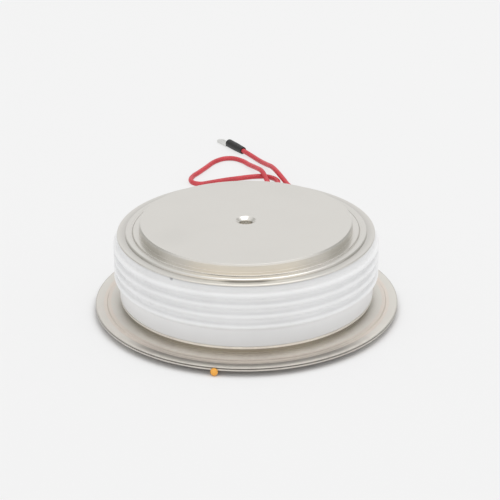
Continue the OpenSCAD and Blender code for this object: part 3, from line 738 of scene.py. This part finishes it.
class THYRISTOR_OT_stage(bpy.types.Operator):
    """Add the camera, the pale floor, the surroundings and the soft light"""

    bl_idname = "thyristor.stage"
    bl_label = "Stage"

    def execute(self, context):
        stage = context.scene.thyristor_stage
        context.scene.view_settings.view_transform = "Standard"
        self.add_camera(context, stage)
        self.add_floor(context, stage)
        self.add_world(context, stage)
        self.add_softbox(stage)
        warm, dim = (1.32, 1.23, 1.09), (0.5, 0.5, 0.48)
        self.add_card("warm_card", (-1.1, -0.6), (1.1, -0.6), warm)
        self.add_card("left_card", (-0.5, 0.05), (-0.5, 0.75), dim)
        self.add_card("right_card", (0.5, 0.05), (0.5, 0.75), dim)
        return {"FINISHED"}

    def add_camera(self, context, stage):
        """The camera in front of the capsule, tilted down on it."""
        camera = add_object("camera", bpy.data.cameras.new("camera"))
        camera.data.sensor_width = 36
        camera.data.lens = stage.focal_length
        camera.data.clip_start = 10 * MM
        camera.matrix_world = (
            Matrix.Translation((0, -stage.camera_distance, stage.camera_height))
            @ Matrix.Rotation(-stage.camera_turn, 4, "Z")
            @ Matrix.Rotation(np.pi / 2 - stage.camera_tilt, 4, "X")
            @ Matrix.Rotation(stage.camera_roll, 4, "Z")
        )
        context.scene.camera = camera

    def add_floor(self, context, stage):
        """A wide pale floor just below the capsule, which shows to the camera partly by its own light."""
        reach, drop = 4.0, 0.02 * MM
        corners = [(-reach, -reach, -drop), (reach, -reach, -drop)]
        corners += [(reach, reach, -drop), (-reach, reach, -drop)]
        f = Finish("pale_floor")
        rim, own_light = context.scene.thyristor_sizes.rim_radius, 0.8
        beyond = f.rise(f.radius, rim - 0.5 * MM, rim + 1.5 * MM)
        shadow = f.blend(beyond, (0.82, 0.81, 0.8), (0.9, 0.9, 0.9))
        lit = f.node("ShaderNodeBsdfDiffuse", {}, {"Color": shadow})
        glow = f.glow([stage.background] * 3)
        clear = f.rise(f.radius, rim + 0.2 * MM, rim + 2.8 * MM)
        factor = f.background_ray() * clear * own_light
        shown = f.node("ShaderNodeMixShader", {}, {0: factor, 1: lit, 2: glow})
        self.add_sheet("floor", corners, f.end(shown))

    def add_world(self, context, stage):
        """Even surroundings: pale to the camera and in reflections, a little dimmer as a light."""
        world = bpy.data.worlds.new("surroundings")
        world.use_nodes = True
        context.scene.world = world
        n = Network(world.node_tree)
        across = n.split(n.node("ShaderNodeTexCoord", output="Generated"))[0]
        ambient = stage.ambient + across * across * stage.sidelight
        strength = ambient + n.background_ray() * (stage.background - ambient)
        back = n.node("ShaderNodeBackground", {}, {"Color": (1, 1, 1, 1), "Strength": strength})
        n.node("ShaderNodeOutputWorld", {}, {"Surface": back})

    def add_softbox(self, stage):
        """A square softbox overhead, a little behind and to the right of the capsule."""
        side = 0.55
        lamp = bpy.data.lights.new("softbox", "AREA")
        lamp.shape = "SQUARE"
        lamp.size = side
        lamp.energy = stage.softbox * np.pi * side**2
        add_object("softbox", lamp).location = (0.12, 0.16, 0.8)

    def add_card(self, name, start, end, glow):
        """An upright glowing card between two points of the floor, which is seen only in reflections."""
        foot, top = 0.03, 0.6
        f = Finish(name)
        corners = [(*start, foot), (*end, foot), (*end, top), (*start, top)]
        card = self.add_sheet(name, corners, f.end(f.glow(glow)))
        card.visible_camera = False
        card.visible_diffuse = False
        card.visible_shadow = False

    def add_sheet(self, name, corners, finish):
        """A flat four-cornered sheet of the stage."""
        mesh = bpy.data.meshes.new(name)
        mesh.from_pydata(corners, [], [(0, 1, 2, 3)])
        mesh.materials.append(finish)
        sheet = add_object(name, mesh)
        return sheet


class THYRISTOR_OT_leads(bpy.types.Operator):
    """Add the two red leads, the black sleeve and the two terminals"""

    bl_idname = "thyristor.leads"
    bl_label = "Control leads"

    def execute(self, context):
        sizes, colours = context.scene.thyristor_leads, context.scene.thyristor_colours
        red = soft_insulation("red_insulation", colours.lead, 0.34)
        black = soft_insulation("black_sleeve", colours.sleeve, 0.42)
        tin = plain_metal("tinned_metal", colours.tin, 0.2)

        start, end = -sizes.sleeve_length, sizes.barrel_length - sizes.tongue_thickness
        shoulder, step = -0.6 * MM, 0.2 * MM
        fine, soft, wide = 0.1 * MM, 0.15 * MM, 0.8 * MM
        sleeve_profile = rounded([
            (sizes.diameter / 2, start, fine),
            (sizes.sleeve_radius - soft, start, soft),
            (sizes.sleeve_radius, shoulder, wide),
            (sizes.sleeve_radius, end, soft),
            (sizes.barrel_radius, end, fine),
            (sizes.barrel_radius, step, fine),
            (sizes.diameter / 2, 0, fine),
        ])
        sheets = [(at_end(CATHODE_ROUTE, lathe(sleeve_profile, 48)), True)]
        sleeve = add_piece("black_sleeve", sheets, black, "black_sleeve", "cathode_lead_sleeve")
        ends = {}
        for lead, route in (("gate_lead", GATE_ROUTE), ("cathode_lead", CATHODE_ROUTE)):
            name = f"{lead}_terminal"
            sheets = terminal_sheets(sizes, route)
            ends[lead] = add_piece(name + "_crimp", sheets, tin, "tinned_metal", name)
        self.add_lead(sizes, "gate_lead", GATE_ROUTE, red, "connector", [ends["gate_lead"]])
        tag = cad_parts["cathode_tag"]
        carried = [ends["cathode_lead"], sleeve, tag]
        self.add_lead(sizes, "cathode_lead", CATHODE_ROUTE, red, "connector", carried)
        return {"FINISHED"}

    def add_lead(self, sizes, node, route, finish, far_end, pieces):
        """One lead as a smooth tube along its route."""
        path = smooth_route(route)
        sheets = [(tube(path, sizes.diameter / 2), False)]
        lead = add_piece(node + "_flex", sheets, finish, "red_insulation", node)


class THYRISTOR_OT_ceramic(bpy.types.Operator):
    """Add the ribbed ceramic wall"""

    bl_idname = "thyristor.ceramic"
    bl_label = "Ceramic wall"

    def execute(self, context):
        s = context.scene.thyristor_sizes
        c, r, top, foot = s.ceramic_chamfer, s.ceramic_radius, s.ceramic_high, s.ceramic_low
        last_root = top - s.rib_margin - (s.rib_count - 0.5) * s.rib_pitch
        first_root = last_root + s.rib_count * s.rib_pitch
        profile = outline(
            line((s.bore_radius, foot), (r - c, foot), (r, foot + c), (r, last_root)),
            self.ribs(s) + [0, last_root],
            line((r, first_root), (r, top - c), (r - c, top), (s.bore_radius, top), (s.bore_radius, foot)),
        )
        finish = fired_ceramic(s, context.scene.thyristor_colours)
        add_piece("ceramic_wall", [(lathe(profile), True)], finish, "white_ceramic", "ceramic_ring")
        return {"FINISHED"}

    def ribs(self, s):
        """The ribs' outline from the lowest root upwards: half a root, a crest and half a root for each rib,
        all arcs of one radius that touch where they meet, half way up the rib."""
        depth, pitch = s.crest_radius - s.ceramic_radius, s.rib_pitch
        bend = ((pitch / 2) ** 2 + depth**2) / (4 * depth)
        reach = np.degrees(np.arcsin(pitch / 4 / bend))
        rib = np.concatenate([
            arc((s.ceramic_radius + bend, 0), bend, 180, 180 - reach, 9),
            arc((s.crest_radius - bend, pitch / 2), bend, -reach, reach, 19),
            arc((s.ceramic_radius + bend, pitch), bend, 180 + reach, 180, 9),
        ])
        climb = np.arange(s.rib_count)[:, None, None] * np.array([0, pitch])
        return (rib[None] + climb).reshape(-1, 2)


class THYRISTOR_OT_poles(bpy.types.Operator):
    """Add the anode pole with its centring hole, and finish the cathode pole"""

    bl_idname = "thyristor.poles"
    bl_label = "Poles"

    def execute(self, context):
        s = context.scene.thyristor_sizes
        top, c = s.total_height, s.face_chamfer
        ledge = top - s.ledge_drop
        soft = 0.1 * MM
        profile = rounded([
            (0, s.contact_height, 0),
            (s.contact_radius, s.contact_height, soft),
            (s.contact_radius, ledge - s.ledge_thickness, soft),
            (s.ledge_radius, ledge - s.ledge_thickness, soft),
            (s.ledge_radius, ledge, soft),
            (s.face_radius, ledge, soft),
            (s.face_radius, top - c, soft),
            (s.face_radius - c, top, soft),
            (s.hole_radius + s.sink_width, top, soft),
            (s.hole_radius, top - s.sink_depth, 3 * soft),
            (s.hole_radius, top - s.hole_depth, soft),
            (0, top - s.hole_depth, 0),
        ], closed=False)[1:-1]
        finish = lapped_nickel(s, context.scene.thyristor_colours)
        add_piece("anode_contact", [(lathe(profile), False)], finish, "plated_copper", "anode_pole")
        refinish("cathode_pole", finish)
        return {"FINISHED"}


class THYRISTOR_OT_flanges(bpy.types.Operator):
    """Add the anode flange and the two sheets of the welded rim"""

    bl_idname = "thyristor.flanges"
    bl_label = "Flanges"

    def execute(self, context):
        s = context.scene.thyristor_sizes
        finish = pressed_nickel(s, context.scene.thyristor_colours)
        for name, profile, node in (
            ("anode_bellows", self.anode_outline(s), "anode_flange"),
            ("rim_upper_sheet", self.weld_outline(s), "weld_flange"),
            ("rim_lower_sheet", self.cover_outline(s), "cover_flange"),
        ):
            add_piece(name, [(lathe(profile), True)], finish, "nickel_sheet", node)
        braze = dull_braze(s, context.scene.thyristor_colours)
        add_piece("anode_braze", [(lathe(self.braze_outline(s)), True)], braze, "nickel_sheet")
        return {"FINISHED"}

    def braze_outline(self, s):
        """The braze in the seam between the anode's ledge and the bead: an arc that sags between its two
        edges, over a narrow slanting foot."""
        lap, spread, proud, sag = 0.02 * MM, 0.78 * MM, 0.008 * MM, 0.14 * MM
        inside, outside, top = s.ledge_radius - lap, s.bead_start + spread, s.bead_top + proud
        inner_foot, outer_foot = top - 0.9 * MM, top - 0.5 * MM
        half = (outside - inside) / 2
        bend = (half**2 + sag**2) / (2 * sag)
        reach = np.degrees(np.arcsin(half / bend))
        return outline(
            line((inside, inner_foot), (outside, outer_foot), (outside, top)),
            arc((inside + half, top - sag + bend), bend, 270 + reach, 270 - reach, 12),
            line((inside, top), (inside, inner_foot)),
        )

    def anode_outline(self, s):
        """Collar, bead and brazed flat: each of the bead's two bends is a pair of quarter circles about one
        centre, and the outer bend ends where it meets the flat."""
        t, bend = s.anode_sheet, s.bead_bend
        under, top = s.ceramic_high, s.bead_top
        inside, outside = s.bead_start, s.bead_start + s.bead_width
        spring = top - bend
        leave = np.degrees(np.arcsin((under + t - spring) / bend))
        meet = outside - bend + bend * np.cos(np.radians(leave))
        edge = s.anode_reach - t / 2
        return outline(
            line((inside, s.collar_low), (inside, spring)),
            arc((inside + bend, spring), bend, 180, 90),
            line((inside + bend, top), (outside - bend, top)),
            arc((outside - bend, spring), bend, 90, leave),
            line((meet, under + t), (edge, under + t)),
            arc((edge, under + t / 2), t / 2, 90, -90),
            line((edge, under), (outside - t, under), (outside - t, spring)),
            arc((outside - bend, spring), bend - t, 0, 90),
            line((outside - bend, top - t), (inside + bend, top - t)),
            arc((inside + bend, spring), bend - t, 90, 180),
            line((inside + t, spring), (inside + t, s.collar_low), (inside, s.collar_low)),
        )

    def groove(self, s, face, down):
        """The pressed groove from the rim's edge inwards: a long slope, a flat floor and a steep wall."""
        floor = s.groove_radius + s.groove_wall
        return [
            (s.groove_end, face + down * s.slope_drop, SLOPE_FILLET),
            (floor + s.groove_floor, face + down * s.groove_depth, SLOPE_FILLET),
            (floor, face + down * s.groove_depth, EDGE_FILLET),
            (s.groove_radius, face, EDGE_FILLET),
        ]

    def weld_outline(self, s):
        """The folded sheet below the ceramic: lip, neck and upper half of the rim."""
        t, seam = s.rim_sheet, s.seam
        inner, lip = s.neck_radius - t, s.ceramic_low
        return rounded([
            (inner, seam, FOLD_FILLET), (s.rim_radius - s.seam_open_width, seam, 0),
            (s.rim_radius, seam + s.seam_open - s.edge_drop, UPPER_EDGE_FILLET),
            (s.rim_radius, seam + t - s.top_drop, UPPER_EDGE_FILLET),
            *self.groove(s, seam + t, -1),
            (s.neck_radius, seam + t, FOLD_FILLET), (s.neck_radius, lip - t, FOLD_FILLET),
            (s.ceramic_radius, lip - t, EDGE_FILLET), (s.ceramic_radius, lip, EDGE_FILLET),
            (inner, lip, FOLD_FILLET),
        ])

    def cover_outline(self, s):
        """The lower half of the rim with its hanging bead: two half circles about the bead's centre."""
        t, seam, big = s.rim_sheet, s.seam, s.cover_bead_width / 2
        face, small = seam - t, big - t
        centre = (s.cover_bead_start + big, s.cover_bead_low + big)
        leave = np.degrees(np.arcsin((centre[1] - face) / big))
        meet = centre[0] - big * np.cos(np.radians(leave))
        start = s.groove_radius - 2 * MM
        rim = rounded([
            (start, face, 0), *self.groove(s, face, 1)[::-1],
            (s.rim_radius, face - s.foot_drop, LOWER_EDGE_FILLET),
            (s.rim_radius, seam - s.seam_open - s.edge_drop, LOWER_EDGE_FILLET),
            (s.rim_radius - s.seam_open_width, seam, 0), (start, seam, 0),
        ], closed=False)
        return outline(
            line((s.cover_start, seam), (s.cover_start, face), (meet, face)),
            arc(centre, big, 180 + leave, 360 - leave, 24),
            rim,
            line((centre[0] + small, seam), (centre[0] + small, centre[1])),
            arc(centre, small, 360, 180, 20),
            line((centre[0] - small, centre[1]), (centre[0] - small, seam)),
        )


class THYRISTOR_OT_outlets(bpy.types.Operator):
    """Add the gate tube, and finish the cathode tag"""

    bl_idname = "thyristor.outlets"
    bl_label = "Gate tube and cathode tag"

    def execute(self, context):
        s = context.scene.thyristor_sizes
        finish = plain_metal("outlet_nickel", context.scene.thyristor_colours.sheet, 0.2)
        start, end = low("gate_tube").y, high("gate_tube").y
        crimp = end - s.crimp_length
        fine, soft, blunt = 0.1 * MM, 0.12 * MM, 0.15 * MM
        profile = rounded([
            (s.tube_bore, start, fine), (s.tube_radius, start, blunt),
            (s.tube_radius, crimp, soft), (s.crimp_radius, crimp, soft),
            (s.crimp_radius, end, soft), (s.tube_bore, end, fine),
        ])
        sheets = [(along_y(lathe(profile, 64), 0, s.gate_height), True)]
        add_piece("gate_outlet", sheets, finish, "nickel_sheet", "gate_tube")
        refinish("cathode_tag", finish)
        return {"FINISHED"}


class THYRISTOR_OT_inner_stack(bpy.types.Operator):
    """Finish the pieces sealed inside the capsule"""

    bl_idname = "thyristor.inner_stack"
    bl_label = "Silicon, plates and gate contact"

    def execute(self, context):
        molybdenum = plain_metal("molybdenum", (0.42, 0.41, 0.39), 0.34)
        silver = plain_metal("soft_silver", (0.84, 0.83, 0.8), 0.24)
        plastic = plain_solid("turned_plastic", (0.82, 0.81, 0.76), 0.45)
        finishes = {
            "silicon_wafer": plain_solid("polished_silicon", (0.1, 0.11, 0.13), 0.12),
            "anode_disc": molybdenum,
            "cathode_washer": molybdenum,
            "anode_foil": silver,
            "wafer_seal": plain_solid("seal_rubber", (0.28, 0.05, 0.04), 0.5),
            "centring_ring": plastic,
            "gate_cup": plastic,
            "gate_spring": plain_metal("spring_wire", (0.5, 0.48, 0.45), 0.26),
            "gate_pin": silver,
            "gate_bush": plastic,
            "gate_wire": plain_metal("drawn_copper", (0.8, 0.42, 0.26), 0.24),
            "gate_wire_sleeve": plastic,
        }
        for node, finish in finishes.items():
            refinish(node, finish)
        return {"FINISHED"}


class THYRISTOR_OT_paint_dot(bpy.types.Operator):
    """Add the drop of orange paint on the rim's edge"""

    bl_idname = "thyristor.paint_dot"
    bl_label = "Paint dot"

    def execute(self, context):
        s, colours = context.scene.thyristor_sizes, context.scene.thyristor_colours
        x, height, proud = -8.45 * MM, 1.06 * MM, 0.3 * MM
        half_width, half_height, half_depth = 1 * MM, 1.08 * MM, 0.75 * MM
        # A flattened ball (w sin t cos a, d sin t sin a, -h cos t): t runs from foot to top, a runs round
        rows, columns, gap = 19, 32, 0.04
        t = np.linspace(gap, 1 - gap, rows)[:, None] * np.pi
        a = np.arange(columns)[None] * TURN / columns
        ball = np.stack([
            half_width * np.sin(t) * np.cos(a),
            half_depth * np.sin(t) * np.sin(a),
            -half_height * np.cos(t) + 0 * a,
        ], axis=2)
        turn = np.arcsin(x / s.rim_radius)
        out = np.array([np.sin(turn), -np.cos(turn), 0])
        sideways = np.array([np.cos(turn), np.sin(turn), 0])
        place = out * (s.rim_radius + proud) + [0, 0, height]
        grid = place + ball @ np.array([sideways, out, [0, 0, 1]])
        finish = plain_solid("orange_paint", colours.paint, 0.3)
        add_piece("paint_dot", [(grid, False)], finish, "nickel_sheet")
        return {"FINISHED"}


class THYRISTOR_PT_build(bpy.types.Panel):
    """The steps of the build and the settings that they read"""

    bl_idname = "THYRISTOR_PT_build"
    bl_label = "Disc Thyristor"
    bl_space_type = "VIEW_3D"
    bl_region_type = "UI"
    bl_category = "Thyristor"

    def draw(self, context):
        for step in STEPS:
            self.layout.operator(step.bl_idname)
        for name in SETTINGS:
            group = getattr(context.scene, name)
            for key in group.__annotations__:
                self.layout.prop(group, key)


SETTINGS = {
    "thyristor_sizes": CapsuleSizes,
    "thyristor_leads": LeadSizes,
    "thyristor_colours": FinishColours,
    "thyristor_stage": StageSettings,
}
STEPS = (
    THYRISTOR_OT_stage,
    THYRISTOR_OT_leads,
    THYRISTOR_OT_ceramic,
    THYRISTOR_OT_poles,
    THYRISTOR_OT_flanges,
    THYRISTOR_OT_outlets,
    THYRISTOR_OT_inner_stack,
    THYRISTOR_OT_paint_dot,
)


def register():
    """Registers the settings, the steps and the panel."""
    for group in SETTINGS.values():
        bpy.utils.register_class(group)
    for name, group in SETTINGS.items():
        setattr(bpy.types.Scene, name, bpy.props.PointerProperty(type=group))
    for step in STEPS:
        bpy.utils.register_class(step)
    bpy.utils.register_class(THYRISTOR_PT_build)


def unregister():
    """Takes everything out again, in the opposite order."""
    bpy.utils.unregister_class(THYRISTOR_PT_build)
    for step in reversed(STEPS):
        bpy.utils.unregister_class(step)
    for name in SETTINGS:
        delattr(bpy.types.Scene, name)
    for group in SETTINGS.values():
        bpy.utils.unregister_class(group)


def main():
    """Registers the add-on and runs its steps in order."""
    register()
    for step in STEPS:
        space, verb = step.bl_idname.split(".")
        getattr(getattr(bpy.ops, space), verb)()


if __name__ == "__main__":
    main()
